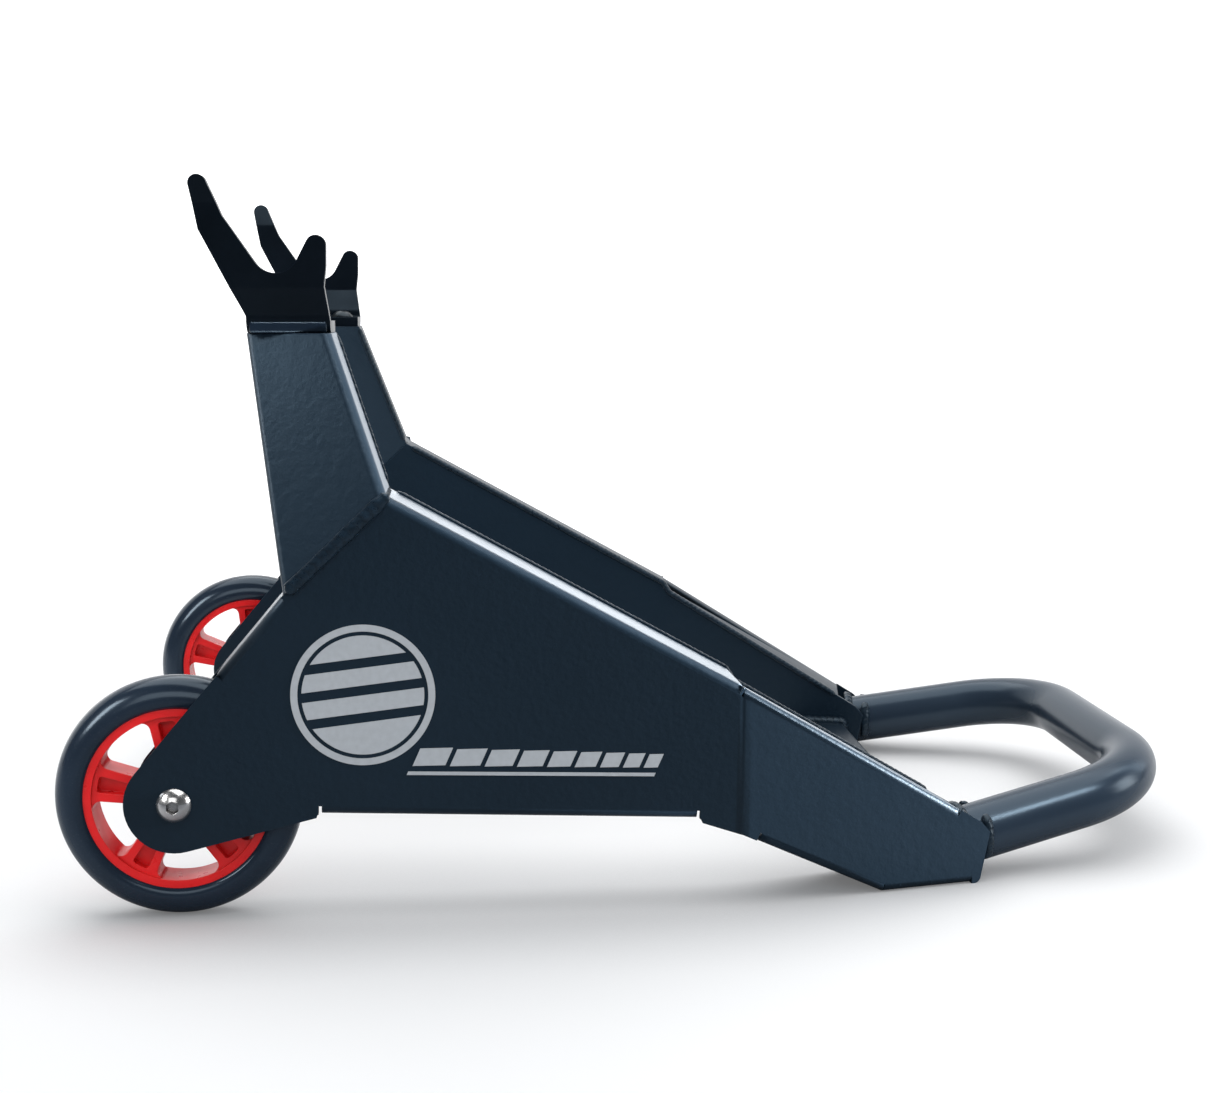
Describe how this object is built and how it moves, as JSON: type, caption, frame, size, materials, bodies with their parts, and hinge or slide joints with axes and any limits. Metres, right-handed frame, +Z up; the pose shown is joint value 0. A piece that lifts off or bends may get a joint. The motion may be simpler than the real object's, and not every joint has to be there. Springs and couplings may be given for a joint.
{
  "type": "paddock stand",
  "caption": "Rear motorcycle paddock stand: folded box arms with leaning masts and spool forks, small wheels in the arm ends, a cross member and a U tube handle.",
  "frame": {"origin": "on the floor, under the middle of the stand's bounding box", "axes": "+Z up, +X from the wheels towards the handle along the longest side, +Y to the right for someone holding the handle and facing the wheels, so the stand is symmetric about Y = 0"},
  "size_m": [0.6169, 0.363, 0.3746],
  "materials": {
    "coated_steel": "satin",
    "coated_tube": "satin",
    "coated_weld": "satin",
    "fork_coat": "matte",
    "tyre_pu": "satin",
    "hub_plastic": "gloss",
    "stainless": "polished",
    "zinc_steel": "satin",
    "bearing_steel": "ground",
    "black_steel": "satin",
    "seal_rubber": "matte",
    "decal_film": "satin"
  },
  "bodies": {
    "frame": {"left_arm_shell": "coated_steel", "left_arm_inner_plate": "coated_steel", "left_arm_end_plate": "coated_steel", "left_mast_shell": "coated_steel", "left_mast_inner_plate": "coated_steel", "left_mast_cap": "coated_steel", "left_fork": "fork_coat", "left_fork_screws": "black_steel", "left_fork_nuts": "zinc_steel", "left_axle_bolt": "stainless", "left_axle_spacer_outer": "zinc_steel", "left_axle_spacer_inner": "zinc_steel", "left_axle_sleeve": "zinc_steel", "left_axle_washer": "stainless", "left_axle_nut": "stainless", "left_decal": "decal_film", "left_bearing_outer_inner_race": "bearing_steel", "left_bearing_inner_inner_race": "bearing_steel", "left_weld_mast": "coated_weld", "left_weld_handle": "coated_weld", "left_weld_cross": "coated_weld", "right_arm_shell": "coated_steel", "right_arm_inner_plate": "coated_steel", "right_arm_end_plate": "coated_steel", "right_mast_shell": "coated_steel", "right_mast_inner_plate": "coated_steel", "right_mast_cap": "coated_steel", "right_fork": "fork_coat", "right_fork_screws": "black_steel", "right_fork_nuts": "zinc_steel", "right_axle_bolt": "stainless", "right_axle_spacer_outer": "zinc_steel", "right_axle_spacer_inner": "zinc_steel", "right_axle_sleeve": "zinc_steel", "right_axle_washer": "stainless", "right_axle_nut": "stainless", "right_decal": "decal_film", "right_bearing_outer_inner_race": "bearing_steel", "right_bearing_inner_inner_race": "bearing_steel", "right_weld_mast": "coated_weld", "right_weld_handle": "coated_weld", "right_weld_cross": "coated_weld", "handle_tube": "coated_tube", "cross_member": "coated_steel"},
    "left_wheel": {"left_tyre": "tyre_pu", "left_hub": "hub_plastic", "left_bearing_outer_outer_race": "bearing_steel", "left_bearing_inner_outer_race": "bearing_steel", "left_bearing_seals": "seal_rubber"},
    "left_ball_cages": {"left_bearing_outer_ball_cage": "bearing_steel", "left_bearing_inner_ball_cage": "bearing_steel"},
    "right_wheel": {"right_tyre": "tyre_pu", "right_hub": "hub_plastic", "right_bearing_outer_outer_race": "bearing_steel", "right_bearing_inner_outer_race": "bearing_steel", "right_bearing_seals": "seal_rubber"},
    "right_ball_cages": {"right_bearing_outer_ball_cage": "bearing_steel", "right_bearing_inner_ball_cage": "bearing_steel"}
  },
  "joints": [
    {"name": "left_wheel_spin", "type": "hinge", "parent": "frame", "child": "left_wheel", "pos_m": [-0.246, -0.1565, 0.0625], "axis": [0, 1, 0], "continuous": true},
    {"name": "left_cage_spin", "type": "hinge", "parent": "frame", "child": "left_ball_cages", "pos_m": [-0.246, -0.1565, 0.0625], "axis": [0, 1, 0], "continuous": true},
    {"name": "right_wheel_spin", "type": "hinge", "parent": "frame", "child": "right_wheel", "pos_m": [-0.246, 0.1565, 0.0625], "axis": [0, 1, 0], "continuous": true},
    {"name": "right_cage_spin", "type": "hinge", "parent": "frame", "child": "right_ball_cages", "pos_m": [-0.246, 0.1565, 0.0625], "axis": [0, 1, 0], "continuous": true}
  ],
  "couplings": [
    {"joint": "left_cage_spin", "follows": "left_wheel_spin", "ratio": 0.6308},
    {"joint": "right_cage_spin", "follows": "right_wheel_spin", "ratio": 0.6308}
  ]
}
